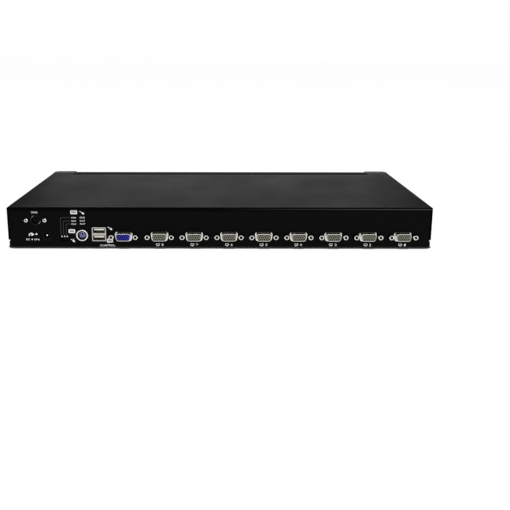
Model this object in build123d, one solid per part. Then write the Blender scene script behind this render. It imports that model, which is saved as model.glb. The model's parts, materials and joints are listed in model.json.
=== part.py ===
from build123d import *
from math import radians, tan
import os

# Eight-port KVM switch for a 19 inch rack, one rack unit high.
# The frame: +X runs to the right as seen by someone facing the connector panel, +Y from the
# connector panel at the rear to the button panel at the front, +Z up. The origin is the middle of
# the underside. Every length is in millimetres.

# ---- driving dimensions -------------------------------------------------------------------------
BODY_WIDTH = 440.0
BODY_HEIGHT = 44.0
BODY_DEPTH = 164.0  # sheet-metal body, without the front bezel
SHEET = 1.0
BEZEL_DEPTH = 8.0
BEZEL_WALL = 2.0
BEZEL_TONGUE = 13.0  # how far the bezel's top reaches back into the notch of the cover
CAP_WIDTH = 28.0
CAP_PROUD = 2.0  # how far the end caps stand in front of the bezel
CAP_RADIUS = 7.0  # outer corner of an end cap, seen from above
PANEL_RECESS = 1.2  # connector panel behind the rear edge of the cover
CONNECTOR_REACH = 5.0  # D shells and jackscrews in front of the connector panel
LIP_DROP = 3.2  # folded rear edge of the cover
SKIRT_BOTTOM = 8.8  # lower edge of the cover's sides
PORT_COUNT = 8
PORT_PITCH = 36.15
PORT_1_X = 190.4
PORT_Z = 12.7
PORT_OPENING = (19.7, 10.3, 3.2)  # width, height and corner radius of a video port's opening in the panel
PORT_OPENING_DROP = 0.35  # its centre below the port's
CONSOLE_VIDEO_X = -100.0
BOARD_TOP = 7.0
BOARD_THICK = 1.6

# ---- planes worked out from them ----------------------------------------------------------------
HALF_WIDTH = BODY_WIDTH / 2
FULL_DEPTH = CONNECTOR_REACH - PANEL_RECESS + BODY_DEPTH + BEZEL_DEPTH + CAP_PROUD
REAR_TIP_Y = -FULL_DEPTH / 2
COVER_REAR_Y = REAR_TIP_Y + CONNECTOR_REACH - PANEL_RECESS
PANEL_Y = COVER_REAR_Y + PANEL_RECESS
PANEL_BACK_Y = PANEL_Y + SHEET
FRONT_Y = COVER_REAR_Y + BODY_DEPTH
WALL_BACK_Y = FRONT_Y - SHEET
BEZEL_Y = FRONT_Y + BEZEL_DEPTH
CAP_Y = BEZEL_Y + CAP_PROUD
BEZEL_PLATE_Y = BEZEL_Y - BEZEL_WALL
PORT_X = [PORT_1_X - PORT_PITCH * i for i in range(PORT_COUNT)]
BOARD_BOTTOM = BOARD_TOP - BOARD_THICK
BOARD_REAR_Y = PANEL_BACK_Y + 1.2
BOARD_FRONT_Y = 38.0
BOARD_HOLES = [(x, y) for x in (-205.0, -70.0, 65.0, 205.0) for y in (-62.0, 30.0)]
STANDOFF_FOOT = 2.3  # clinched in the tray, flush with its underside

# ---- screws and small clearances ----------------------------------------------------------------
M3 = 1.5
M3_CLEAR = 1.7
M3_GRIP = 1.52
HEAD_RADIUS = 2.7
HEAD_HEIGHT = 1.8
JACK_PITCH = 24.99
JACK_THREAD = 1.42
JACK_CLEAR = 1.62
JACK_HEX = 4.75  # across flats
RUNNING = 0.3  # gap round a moving piece
MATING = 0.1  # gap round a fixed piece

# ---- the button panel ---------------------------------------------------------------------------
BUTTON_X = [66.0 - 18.0 * i for i in range(PORT_COUNT)]
BUTTON_Z = 16.0
BUTTON_SIZE = (11.0, 7.0)
BUTTON_PROUD = 1.5
BUTTON_TRAVEL = 0.6
PIPE_Z = 29.0
PIPE_SPACING = 5.6
PIPE_RADIUS = 1.5
DISPLAY_X, DISPLAY_Z = -100.0, 22.0
DISPLAY_SIZE = (13.0, 19.0)
FRONT_BOARD_Y = FRONT_Y - 6.9  # face that the switches sit on
SWITCH_HEIGHT = 3.5
PLUNGER_TIP_Y = FRONT_BOARD_Y + 5.0
FRONT_STANDOFFS = [(x, z) for x in (78.0, -118.0) for z in (8.0, 36.0)]
BEZEL_SCREWS = [(172, 10), (172, 34), (104, 22), (-150, 22), (-172, 10), (-172, 34)]
CAP_SCREWS = [(206, 22), (-206, 22)]

# ---- the rest of the connector panel ------------------------------------------------------------
KEYBOARD_X, KEYBOARD_Z = -143.2, 13.6
KEYBOARD_RING = (4.85, 6.15)  # inner and outer radius
KEYBOARD_INSERT = 3.45
BUS_X, BUS_Z = -125.5, 14.9
BUS_SHELL = (13.3, 14.5)
BUS_RIM = (14.7, 15.0)
BUS_OPENING = (12.5, 5.1)
BUS_STEP = 7.8  # from one opening's centre to the other's
BUS_TONGUE = (10.6, 1.8)
LINK_X, LINK_Z = -190.9, 29.9
LINK_SCREW_PITCH = 19.3
LINK_SHIELD = (4.75, 5.1)  # inner and outer radius
LINK_INSERT = 3.95
LINK_SCREW_HEAD = 2.2
POWER_X, POWER_Z = -180.0, 13.3
MODE_X, MODE_Z = -161.3, 9.0
MODE_TRAVEL = 2.5  # each way from the middle position

# ---- side openings ------------------------------------------------------------------------------
COVER_SCREW_Y = (-70.0, -9.0, 51.9)
COVER_SCREW_Z = 24.0
EAR_CENTRE = (FRONT_Y - 27.0, 24.0)  # y, z of the rack-ear hole pattern
EAR_SPACING = (30.0, 20.0)
EAR_HOLE = 2.1
EAR_TAP = 1.65
VENT_Y = [-60.0 + 5.0 * i for i in range(8)] + [2.0 + 5.0 * i for i in range(6)]


# ---- shapes that everything uses ----------------------------------------------------------------
def block(x0, x1, y0, y1, z0, z1):
    """Box between two corners."""
    return Pos((x0 + x1) / 2, (y0 + y1) / 2, (z0 + z1) / 2) * Box(x1 - x0, y1 - y0, z1 - z0)


def rod_x(y, z, radius, x0, x1):
    return Pos((x0 + x1) / 2, y, z) * Rot(0, 90, 0) * Cylinder(radius, x1 - x0)


def rod_y(x, z, radius, y0, y1):
    return Pos(x, (y0 + y1) / 2, z) * Rot(90, 0, 0) * Cylinder(radius, y1 - y0)


def rod_z(x, y, radius, z0, z1):
    return Pos(x, y, (z0 + z1) / 2) * Cylinder(radius, z1 - z0)


def slab(sketch, y0, y1):
    """A sketch drawn in x and z, made solid from y0 to y1."""
    upright = Plane(origin=(0, y1, 0), x_dir=(1, 0, 0), z_dir=(0, -1, 0))
    return extrude(upright * sketch, amount=y1 - y0, dir=(0, -1, 0))


def round_rect(x, z, width, height, radius):
    return Pos(x, z) * RectangleRounded(width, height, radius)


def d_outline(x, z, width, height, radius):
    """The D of a D-sub connector: sides that lean in by 10 degrees towards the bottom."""
    lean = height * tan(radians(10))
    top, bottom = width / 2, width / 2 - lean
    corners = [(-top, height / 2), (top, height / 2), (bottom, -height / 2), (-bottom, -height / 2)]
    face = Polygon(*corners, align=None)
    return Pos(x, z) * fillet(face.vertices(), radius)


def edges_at(part, axis, position, near=0.01):
    """Straight and curved edges whose centre lies at a position along an axis."""
    index = {Axis.X: 0, Axis.Y: 1, Axis.Z: 2}[axis]
    return [e for e in part.edges() if abs(tuple(e.center())[index] - position) < near]


def cross_recess(depth, width=2.7):
    """Phillips recess, cut downwards from the origin along -Z."""
    arm = Pos(0, 0, -depth / 2) * Box(width, 0.7, depth)
    return arm + Rot(0, 0, 90) * arm + Pos(0, 0, -depth) * Cone(0.15, 0.75, depth)


def pan_screw(length, head_radius=HEAD_RADIUS):
    """Pan-head M3 screw that stands on the origin, head up, shank down."""
    head = Pos(0, 0, HEAD_HEIGHT / 2) * Cylinder(head_radius, HEAD_HEIGHT)
    head = fillet(head.edges().sort_by(Axis.Z)[-1], 0.9)
    shank = Pos(0, 0, -length / 2) * Cylinder(M3, length)
    return head + shank - Pos(0, 0, HEAD_HEIGHT) * cross_recess(1.1)


PARTS = {}


def keep(name, *solids):
    PARTS[name] = solids


# ---- sheet-metal body ---------------------------------------------------------------------------
def chassis_section():
    """Outline of the tray seen from the rear. Its sides step in under the cover's skirts."""
    low, high = HALF_WIDTH - 0.2, HALF_WIDTH - SHEET - 0.3
    top = BODY_HEIGHT - SHEET - 0.4
    step = (6.4, 7.5)
    right = [(low, 0), (low, step[0]), (high, step[1]), (high, top)]
    face = Polygon(*right, *[(-x, z) for x, z in reversed(right)], align=None)
    return fillet([v for v in face.vertices() if v.Y < 0.01], 2.0), high, top


def side_openings(vent_width, vent_height):
    """Vents through both sides of the cover or the tray."""
    reach = HALF_WIDTH + 5
    slots = []
    for y in VENT_Y:
        slots.append(block(-reach, reach, y - vent_width / 2, y + vent_width / 2,
                           COVER_SCREW_Z - vent_height / 2, COVER_SCREW_Z + vent_height / 2))
    return slots


def ear_holes(radius, reach=HALF_WIDTH + 5):
    y, z = EAR_CENTRE
    return [rod_x(y + i * EAR_SPACING[0] / 2, z + j * EAR_SPACING[1] / 2, radius, -reach, reach)
            for i in (-1, 1) for j in (-1, 1)]


def panel_cutouts():
    """What is cut in the connector panel, as sketches in x and z."""
    cuts = []
    for x in [*PORT_X, CONSOLE_VIDEO_X]:
        cuts.append(d_outline(x, PORT_Z - PORT_OPENING_DROP, *PORT_OPENING))
        cuts += [Pos(x + s * JACK_PITCH / 2, PORT_Z) * Circle(JACK_CLEAR) for s in (-1, 1)]
    cuts.append(Pos(KEYBOARD_X, KEYBOARD_Z) * Circle(KEYBOARD_RING[1] + 0.2))
    cuts.append(round_rect(BUS_X, BUS_Z, BUS_RIM[0] + 0.4, BUS_RIM[1] + 0.4, 0.8))
    cuts.append(Pos(LINK_X, LINK_Z) * Circle(6.1))
    cuts += [Pos(LINK_X + s * LINK_SCREW_PITCH / 2, LINK_Z) * Circle(M3_CLEAR) for s in (-1, 1)]
    cuts.append(round_rect(POWER_X, POWER_Z - 1.6, 9.7, 10.7, 0.6))
    cuts.append(round_rect(MODE_X, MODE_Z, 8.8, 3.4, 0.5))
    return cuts


def front_wall_cutouts():
    left, right = BUTTON_X[0] + 8, BUTTON_X[-1] - 8
    cuts = [round_rect((left + right) / 2, 22, left - right, 30, 1.5),
            round_rect(DISPLAY_X, DISPLAY_Z, DISPLAY_SIZE[0] + 2, DISPLAY_SIZE[1] + 2, 1.0)]
    cuts += [Pos(x, z) * Circle(M3_CLEAR) for x, z in BEZEL_SCREWS + CAP_SCREWS]
    return cuts


def base_chassis():
    outline, high, top = chassis_section()
    hollow = offset(outline, -SHEET, kind=Kind.INTERSECTION) + Pos(0, top) * Rectangle(2 * (high - SHEET), 8)
    tray = slab(outline - hollow, PANEL_Y, FRONT_Y)
    tray += slab(outline, PANEL_Y, PANEL_BACK_Y) + slab(outline, WALL_BACK_Y, FRONT_Y)
    folds = [e for e in edges_at(tray, Axis.Z, 0) if abs(e.center().X) < 1 and e.length > 100
             and abs(abs(e.center().Y - (PANEL_Y + FRONT_Y) / 2) - (FRONT_Y - PANEL_Y) / 2) < 0.01]
    tray = fillet(folds, 1.2)
    for cut in panel_cutouts():
        tray -= slab(cut, PANEL_Y - 1, PANEL_BACK_Y + 1)
    for cut in front_wall_cutouts():
        tray -= slab(cut, WALL_BACK_Y - 1, FRONT_Y + 1)
    for slot in side_openings(3.0, 15.0):
        tray -= slot
    for x, y in BOARD_HOLES:
        tray -= rod_z(x, y, STANDOFF_FOOT + 0.02, -1, SHEET + 1)
    # tapped collars for the rack ears, and tapped holes for the cover screws
    y, z = EAR_CENTRE
    for side in (-1, 1):
        inner = side * (high - SHEET)
        ends = sorted((inner, inner - side * 2.0))
        for i in (-1, 1):
            for j in (-1, 1):
                tray += rod_x(y + i * EAR_SPACING[0] / 2, z + j * EAR_SPACING[1] / 2, 3.4, *ends)
    for hole in ear_holes(EAR_TAP):
        tray -= hole
    for y in COVER_SCREW_Y:
        tray -= rod_x(y, COVER_SCREW_Z, M3_GRIP, -HALF_WIDTH, HALF_WIDTH)
    keep("base_chassis", tray)


def top_cover():
    w, h = HALF_WIDTH, BODY_HEIGHT
    outer = Polygon((-w, SKIRT_BOTTOM), (w, SKIRT_BOTTOM), (w, h), (-w, h), align=None)
    outer = fillet([v for v in outer.vertices() if v.Y > h - 0.01], 1.5)
    inner = Polygon((SHEET - w, 0), (w - SHEET, 0), (w - SHEET, h - SHEET), (SHEET - w, h - SHEET), align=None)
    inner = fillet([v for v in inner.vertices() if v.Y > h - SHEET - 0.01], 0.5)
    cover = slab(outer - inner, COVER_REAR_Y, FRONT_Y)
    cover += block(-w + 1.8, w - 1.8, COVER_REAR_Y, COVER_REAR_Y + SHEET, h - LIP_DROP, h - SHEET / 2)
    fold = [e for e in edges_at(cover, Axis.Z, h) if abs(e.center().Y - COVER_REAR_Y) < 0.01]
    cover = fillet(fold, 0.9)
    between_caps = w - CAP_WIDTH
    cover -= block(-between_caps, between_caps, FRONT_Y - BEZEL_TONGUE - MATING, FRONT_Y + 1, h - 2 * SHEET, h + 1)
    for slot in side_openings(2.4, 14.0):
        cover -= slot
    for hole in ear_holes(EAR_HOLE):
        cover -= hole
    for y in COVER_SCREW_Y:
        for side in (-1, 1):
            sink = Pos(side * (w - SHEET / 2), y, COVER_SCREW_Z) * Rot(0, side * 90, 0) * Cone(1.75, 2.75, SHEET)
            cover -= sink
    keep("top_cover", cover)


def cover_screws():
    """Countersunk screws through the cover's sides into the tray."""
    head = Pos(0, 0, -SHEET / 2) * Cone(M3, 2.5, SHEET)
    shank = Pos(0, 0, -3.0) * Cylinder(M3, 4.2)
    screw = head + shank - cross_recess(0.9, 2.4)
    solids = [Pos(side * HALF_WIDTH, y, COVER_SCREW_Z) * Rot(0, side * 90, 0) * screw
              for y in COVER_SCREW_Y for side in (-1, 1)]
    keep("cover_screws", *solids)


# ---- front bezel and end caps -------------------------------------------------------------------
def boss(x, z, y1):
    """Screw boss behind the bezel, from the tray's front wall to y1, with a blind hole."""
    return rod_y(x, z, 3.2, FRONT_Y, y1), rod_y(x, z, M3_GRIP, FRONT_Y - 1, y1 - 0.8)


def front_bezel():
    half = HALF_WIDTH - CAP_WIDTH - MATING
    shell = block(-half, half, FRONT_Y, BEZEL_Y, 0.6, BODY_HEIGHT - 0.6)
    shell = fillet([e for e in edges_at(shell, Axis.Y, BEZEL_Y) if e.length > 100], 1.5)
    shell -= block(-half + BEZEL_WALL, half - BEZEL_WALL, FRONT_Y - 1, BEZEL_PLATE_Y,
                   0.6 + BEZEL_WALL, BODY_HEIGHT - 0.6 - BEZEL_WALL)
    shell += block(-half, half, FRONT_Y - BEZEL_TONGUE, FRONT_Y + 0.5, BODY_HEIGHT - 1.3, BODY_HEIGHT - 0.6)
    for x, z in BEZEL_SCREWS:
        post, hole = boss(x, z, BEZEL_PLATE_Y + 0.2)
        shell = shell + post - hole
    # a shallow panel for the printed film, then the windows through it
    shell -= slab(round_rect(0, 22, 2 * half - 24, 30, 3.0), BEZEL_Y - 0.4, BEZEL_Y + 1)
    through = [round_rect(x, BUTTON_Z, BUTTON_SIZE[0] + 2 * RUNNING, BUTTON_SIZE[1] + 2 * RUNNING, 1.5)
               for x in BUTTON_X]
    through += [Pos(x + s * PIPE_SPACING / 2, PIPE_Z) * Circle(PIPE_RADIUS + 0.05)
                for x in BUTTON_X for s in (-1, 1)]
    through.append(round_rect(DISPLAY_X, DISPLAY_Z, 15.2, 21.2, 1.1))
    for cut in through:
        shell -= slab(cut, BEZEL_PLATE_Y - 1, BEZEL_Y + 1)
    keep("front_bezel", shell)


def end_cap(name, side):
    """Moulded cap at one end of the bezel, with a rounded outer corner."""
    inside, outside = HALF_WIDTH - CAP_WIDTH, HALF_WIDTH
    x0, x1 = sorted((side * inside, side * outside))
    cap = block(x0, x1, FRONT_Y, CAP_Y, 0, BODY_HEIGHT)
    corner = [e for e in cap.edges().filter_by(Axis.Z)
              if abs(e.center().X - side * outside) < 0.01 and e.center().Y > FRONT_Y + 1]
    cap = fillet(corner, CAP_RADIUS)
    cap = fillet([e for e in edges_at(cap, Axis.Z, BODY_HEIGHT) + edges_at(cap, Axis.Z, 0)
                  if e.center().Y > FRONT_Y + 3], 0.8)
    wall = 2.4
    pocket = block(min(side * (inside + wall), side * (outside - wall)),
                   max(side * (inside + wall), side * (outside - wall)),
                   FRONT_Y - 1, CAP_Y - 4.5, wall, BODY_HEIGHT - wall)
    x, z = next(p for p in CAP_SCREWS if p[0] * side > 0)
    post, hole = boss(x, z, CAP_Y - 4.0)
    keep(name, cap - pocket + post - hole)


# ---- front board, buttons and lights ------------------------------------------------------------
def front_board():
    y0, y1 = FRONT_BOARD_Y - BOARD_THICK, FRONT_BOARD_Y
    board = slab(round_rect(-20, 22, 206, 35, 1.5), y0, y1)
    for x, z in FRONT_STANDOFFS:
        board -= rod_y(x, z, M3_CLEAR, y0 - 1, y1 + 1)
    keep("front_board", board)
    switch = slab(RectangleRounded(6.0, 6.0, 0.5), y1, y1 + SWITCH_HEIGHT)
    switch -= rod_y(0, 0, 1.9, y1 + 0.6, y1 + SWITCH_HEIGHT + 1)
    keep("tact_switches", *[Pos(x, 0, BUTTON_Z) * switch for x in BUTTON_X])
    lamp = slab(RectangleRounded(2.4, 1.6, 0.2), y1, y1 + 0.9)
    keep("status_leds", *[Pos(x + s * PIPE_SPACING / 2, 0, PIPE_Z) * lamp for x in BUTTON_X for s in (-1, 1)])


def light_pipes():
    """Clear rods that carry the light of the LEDs to the bezel."""
    pipe = rod_y(0, 0, PIPE_RADIUS, FRONT_BOARD_Y + 1.2, BEZEL_Y + 0.3)
    pipe = fillet(pipe.edges().sort_by(Axis.Y)[-1], 0.7)
    pipe += rod_y(0, 0, PIPE_RADIUS + 0.6, BEZEL_PLATE_Y - 0.8, BEZEL_PLATE_Y)
    keep("light_pipes", *[Pos(x + s * PIPE_SPACING / 2, 0, PIPE_Z) * pipe for x in BUTTON_X for s in (-1, 1)])


def port_buttons():
    """Each button is a keycap with the plunger of the switch behind it."""
    width, height = BUTTON_SIZE
    cap = slab(RectangleRounded(width, height, 1.2), BEZEL_PLATE_Y - 1.0, BEZEL_Y + BUTTON_PROUD)
    cap = fillet(edges_at(cap, Axis.Y, BEZEL_Y + BUTTON_PROUD), 0.6)
    # a shallow thumb dish in the face, and a flange that stops the cap falling out
    dish = Pos(0, BEZEL_Y + BUTTON_PROUD + 29.6, 0) * Sphere(30.0)
    cap = cap - dish
    cap += slab(RectangleRounded(width + 2.0, height + 2.0, 1.6), BEZEL_PLATE_Y - 1.0, BEZEL_PLATE_Y - 0.1)
    cap += slab(RectangleRounded(3.4, 3.4, 0.4), PLUNGER_TIP_Y, BEZEL_PLATE_Y - 0.5)
    plunger = rod_y(0, 0, 1.7, FRONT_BOARD_Y + 0.6 + BUTTON_TRAVEL + 0.4, PLUNGER_TIP_Y)
    for i, x in enumerate(BUTTON_X):
        keep(f"port_button_{i + 1}", Pos(x, 0, BUTTON_Z) * cap, Pos(x, 0, BUTTON_Z) * plunger)


def bank_display():
    """Seven-segment digit behind a tinted window."""
    width, height = DISPLAY_SIZE
    face_y = BEZEL_PLATE_Y - 0.4
    body = slab(round_rect(DISPLAY_X, DISPLAY_Z, width, height, 0.4), FRONT_BOARD_Y, face_y)
    bar, gap = 6.2, 0.35
    across = [(0, bar, 0), (0, 0, 0), (0, -bar, 0)]
    upright = [(s * bar / 2, t * bar / 2, 90) for s in (-1, 1) for t in (-1, 1)]
    for dx, dz, turn in across + upright:
        segment = Pos(DISPLAY_X + dx, DISPLAY_Z + dz) * Rot(0, 0, turn) * RectangleRounded(bar - 1.4 - gap, 1.3, 0.4)
        body -= slab(segment, face_y - 0.3, face_y + 1)
    keep("bank_display", body)
    window = slab(round_rect(DISPLAY_X, DISPLAY_Z, 15.0, 21.0, 1.0), BEZEL_PLATE_Y, BEZEL_Y - 0.4)
    window += slab(round_rect(DISPLAY_X, DISPLAY_Z, 17.0, 23.0, 1.6), BEZEL_PLATE_Y - 0.3, BEZEL_PLATE_Y)
    keep("display_window", window)


# ---- main board and what stands on it -----------------------------------------------------------
def main_board():
    board = block(-HALF_WIDTH + 8, HALF_WIDTH - 8, BOARD_REAR_Y, BOARD_FRONT_Y, BOARD_BOTTOM, BOARD_TOP)
    board = fillet(board.edges().filter_by(Axis.Z), 2.0)
    for x, y in BOARD_HOLES:
        board -= rod_z(x, y, M3_CLEAR, 0, 20)
    keep("main_board", board)


def standoffs():
    """Hexagonal posts under the main board and between the front wall and the front board."""
    outline = RegularPolygon(2.9, 6)
    low = Pos(0, 0, SHEET) * extrude(outline, BOARD_BOTTOM - SHEET) + rod_z(0, 0, STANDOFF_FOOT, 0, SHEET)
    low -= rod_z(0, 0, M3_GRIP, SHEET / 2, BOARD_TOP)
    posts = [Pos(x, y, 0) * low for x, y in BOARD_HOLES]
    near = extrude(outline - Circle(M3_GRIP), WALL_BACK_Y - FRONT_BOARD_Y)
    posts += [Pos(x, FRONT_BOARD_Y, z) * Rot(-90, 0, 0) * near for x, z in FRONT_STANDOFFS]
    keep("board_standoffs", *posts)


def board_and_bezel_screws():
    short, long = pan_screw(5.0), pan_screw(6.0)
    solids = [Pos(x, y, BOARD_TOP) * short for x, y in BOARD_HOLES]
    solids += [Pos(x, FRONT_BOARD_Y - BOARD_THICK, z) * Rot(90, 0, 0) * short for x, z in FRONT_STANDOFFS]
    solids += [Pos(x, WALL_BACK_Y, z) * Rot(90, 0, 0) * long for x, z in BEZEL_SCREWS + CAP_SCREWS]
    keep("board_and_bezel_screws", *solids)


def chip(x, y, size, height, lead):
    """Flat package: a moulded body on a thinner frame of leads."""
    half, reach = size / 2, size / 2 + lead
    body = block(x - half, x + half, y - half, y + half, BOARD_TOP + 0.2, BOARD_TOP + height)
    body = chamfer(body.faces().sort_by(Axis.Z)[-1].edges(), 0.25)
    leads = block(x - reach, x + reach, y - half + 1, y + half - 1, BOARD_TOP, BOARD_TOP + 0.25)
    leads += block(x - half + 1, x + half - 1, y - reach, y + reach, BOARD_TOP, BOARD_TOP + 0.25)
    return body + leads


def board_chips():
    solids = [chip(x, -48.0, 10.0, 1.6, 1.2) for x in PORT_X]
    solids += [chip(x, -28.0, 7.0, 1.4, 1.0) for x in PORT_X]
    solids += [chip(-99.0, -44.0, 14.0, 1.7, 1.4), chip(-40.0, 6.0, 24.0, 2.0, 1.6), chip(10.0, 6.0, 12.0, 1.6, 1.2)]
    keep("board_chips", *solids)


def capacitors():
    """Electrolytic cans with the groove that holds the bung."""
    solids = []
    for x, y, radius, height in [(-190, -22, 5.0, 16), (-174, -22, 5.0, 16), (-158, -22, 4.0, 11),
                                 (-140, 10, 3.2, 8), (60, 22, 3.2, 8), (130, 22, 3.2, 8), (180, 10, 4.0, 11)]:
        can = rod_z(x, y, radius, BOARD_TOP, BOARD_TOP + height)
        can = fillet(can.edges().sort_by(Axis.Z)[-1], 0.5)
        groove = rod_z(x, y, radius + 1, BOARD_TOP + 1.6, BOARD_TOP + 2.2) - rod_z(x, y, radius - 0.4, BOARD_TOP, BOARD_TOP + 4)
        solids.append(can - groove)
    keep("capacitors", *solids)


def buzzer():
    body = rod_z(-100, 14, 6.0, BOARD_TOP, BOARD_TOP + 8.5)
    body = fillet(body.edges().sort_by(Axis.Z)[-1], 0.6)
    keep("buzzer", body - rod_z(-100, 14, 1.1, BOARD_TOP + 6.5, BOARD_TOP + 10))


def flat_cable(x, width, start, corner, end, bend):
    """Strip that leaves one plug level, bends once and drops into the other, drawn in y and z."""
    path = FilletPolyline(start, corner, end, radius=bend)
    side_on = Plane(origin=(x - width / 2, 0, 0), x_dir=(0, 1, 0), z_dir=(1, 0, 0))
    return extrude(side_on * trace(path, 1.0), width)


def ribbon_cables():
    """One ribbon joins the two boards, the other joins the link socket to the main board."""
    plug = 6.0
    board_y = FRONT_BOARD_Y - BOARD_THICK
    socket_y = PANEL_BACK_Y + 13.0
    front = flat_cable(0, 20.0, (board_y - plug, 24.0), (30.0, 24.0), (30.0, BOARD_TOP + plug), 6.0)
    link = flat_cable(LINK_X, 8.0, (socket_y + 4.0, LINK_Z), (-48.0, LINK_Z), (-48.0, BOARD_TOP + plug), 5.0)
    plugs = [block(-12, 12, board_y - plug, board_y, 20.5, 27.5),
             block(-12, 12, 26.5, 33.5, BOARD_TOP, BOARD_TOP + plug),
             block(LINK_X - 5, LINK_X + 5, socket_y, socket_y + 4.0, LINK_Z - 3, LINK_Z + 3),
             block(LINK_X - 5, LINK_X + 5, -51.0, -45.0, BOARD_TOP, BOARD_TOP + plug)]
    keep("ribbon_cables", front, link, *plugs)


# ---- 15-pin video connectors --------------------------------------------------------------------
D_OUTER = (16.33, 7.9)
D_WALL = 0.55
FOOT_RADIUS = 0.5  # where the tube is drawn out of the collar
COLLAR_Y = PANEL_Y - 0.15  # face of the flange's raised collar, which fills the panel's opening
FLANGE = (30.8, 12.5, 0.8)
FLANGE_BACK_Y = PANEL_BACK_Y + FLANGE[2]
NOSE_Y = REAR_TIP_Y + 0.4
HOLE_PITCH, ROW_PITCH = 2.29, 1.98
CONTACT_HOLE = 0.6
CONTACT_DEPTH = 2.4  # from the nose's face to the end of a contact
CONTACT_HOLES = [((i - 2) * HOLE_PITCH + (HOLE_PITCH / 4 if row != 1 else -HOLE_PITCH / 4), (1 - row) * ROW_PITCH, row)
                 for row in range(3) for i in range(5)]


def cut_at(part, y):
    """The same piece as two touching solids, so that each has a simple convex outline."""
    return split(part, bisect_by=Plane(origin=(0, y, 0), z_dir=(0, 1, 0)), keep=Keep.BOTH)


def video_shell():
    """Nickel flange behind the panel, a collar through the panel and the D-shaped tube drawn out of it."""
    width, height = D_OUTER
    plate = slab(round_rect(0, PORT_Z, FLANGE[0], FLANGE[1], 1.5), PANEL_BACK_Y, FLANGE_BACK_Y)
    around = [size - 2 * MATING for size in PORT_OPENING]
    collar = slab(d_outline(0, PORT_Z - PORT_OPENING_DROP, *around), COLLAR_Y, PANEL_BACK_Y + 0.2)
    collar = fillet(edges_at(collar, Axis.Y, COLLAR_Y), 0.12)
    tube = slab(d_outline(0, PORT_Z, width, height, 2.4), REAR_TIP_Y, COLLAR_Y + 0.2)
    shell = plate + collar + tube
    foot = [e for e in edges_at(shell, Axis.Y, COLLAR_Y) if abs(e.center().X) < width / 2 + 0.1
            and abs(e.center().Z - PORT_Z) < height / 2 + 0.1]
    shell = fillet(foot, FOOT_RADIUS)
    rim = edges_at(shell, Axis.Y, REAR_TIP_Y)
    shell = fillet(rim, 0.2)
    shell -= slab(d_outline(0, PORT_Z, width - 2 * D_WALL, height - 2 * D_WALL, 2.0), REAR_TIP_Y - 1, FLANGE_BACK_Y + 1)
    for side in (-1, 1):
        shell -= rod_y(side * JACK_PITCH / 2, PORT_Z, JACK_CLEAR, PANEL_BACK_Y - 1, FLANGE_BACK_Y + 1)
    return cut_at(shell, COLLAR_Y - FOOT_RADIUS)


def video_insulator():
    """Moulding whose D-shaped nose fills the shell, with fifteen holes for the plug's pins."""
    gap = D_WALL + 0.05
    nose = slab(d_outline(0, PORT_Z, D_OUTER[0] - 2 * gap, D_OUTER[1] - 2 * gap, 1.95), NOSE_Y, FLANGE_BACK_Y + 0.2)
    nose = chamfer(edges_at(nose, Axis.Y, NOSE_Y), 0.15)
    body = block(-15.4, 15.4, FLANGE_BACK_Y, FLANGE_BACK_Y + 10.0, BOARD_TOP, PORT_Z + 6.0)
    body = chamfer(body.edges().filter_by(Axis.X).group_by(Axis.Z)[-1], 0.8)
    body += nose
    for dx, dz, _ in CONTACT_HOLES:
        body -= rod_y(dx, PORT_Z + dz, CONTACT_HOLE, NOSE_Y - 1, FLANGE_BACK_Y + 11)
        body -= Pos(dx, NOSE_Y + 0.1, PORT_Z + dz) * Rot(90, 0, 0) * Cone(CONTACT_HOLE - 0.05, CONTACT_HOLE + 0.25, 0.3)
    for side in (-1, 1):
        body -= rod_y(side * JACK_PITCH / 2, PORT_Z, JACK_CLEAR, FLANGE_BACK_Y - 1, FLANGE_BACK_Y + 6)
    return cut_at(body, FLANGE_BACK_Y)


def video_contact(dz, row):
    """Socket contact with a right-angled leg down to the board."""
    back = FLANGE_BACK_Y + 10.6 + 1.2 * (2 - row)
    z = PORT_Z + dz
    front = NOSE_Y + CONTACT_DEPTH
    contact = rod_y(0, z, CONTACT_HOLE - 0.08, front, back) - rod_y(0, z, 0.32, front - 1, front + 4)
    contact += block(-0.3, 0.3, back - 0.3, back + 0.3, BOARD_TOP, z + 0.3)
    return contact


def jackscrew():
    """Hexagonal standoff nut on the panel with its own shank, tapped for the plug's screw."""
    hexagon = slab(Pos(0, PORT_Z) * RegularPolygon(JACK_HEX / 2, 6, major_radius=False), REAR_TIP_Y, PANEL_Y)
    turned = rod_y(0, PORT_Z, JACK_HEX / 2 + 0.3, REAR_TIP_Y, PANEL_Y)
    turned = chamfer(turned.edges().sort_by(Axis.Y)[0], 0.45)
    nut = (hexagon & turned) + rod_y(0, PORT_Z, JACK_THREAD, PANEL_Y, FLANGE_BACK_Y + 4.0)
    nut -= rod_y(0, PORT_Z, JACK_THREAD, REAR_TIP_Y - 1, PANEL_Y - 0.4)
    return nut - Pos(0, REAR_TIP_Y + 0.15, PORT_Z) * Rot(90, 0, 0) * Cone(JACK_THREAD, JACK_THREAD + 0.3, 0.3)


def video_ports():
    shell, insulator, nut = video_shell(), video_insulator(), jackscrew()
    by_row = [video_contact((1 - row) * ROW_PITCH, row) for row in range(3)]
    contacts, nuts = [], []
    for name, x in [(f"pc{i + 1}", x) for i, x in enumerate(PORT_X)] + [("console_video", CONSOLE_VIDEO_X)]:
        keep(f"{name}_shell", Pos(x, 0, 0) * shell)
        keep(f"{name}_insulator", Pos(x, 0, 0) * insulator)
        contacts += [Pos(x + dx, 0, 0) * by_row[row] for dx, _, row in CONTACT_HOLES]
        nuts += [Pos(x + side * JACK_PITCH / 2, 0, 0) * nut for side in (-1, 1)]
    keep("video_contacts", *contacts)
    keep("jackscrews", *nuts)


# ---- the other connectors -----------------------------------------------------------------------
DIN_PINS = [(-1.1, -2.2), (1.1, -2.2), (-2.6, -0.3), (2.6, -0.3), (-1.9, 1.8), (1.9, 1.8)]


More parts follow.
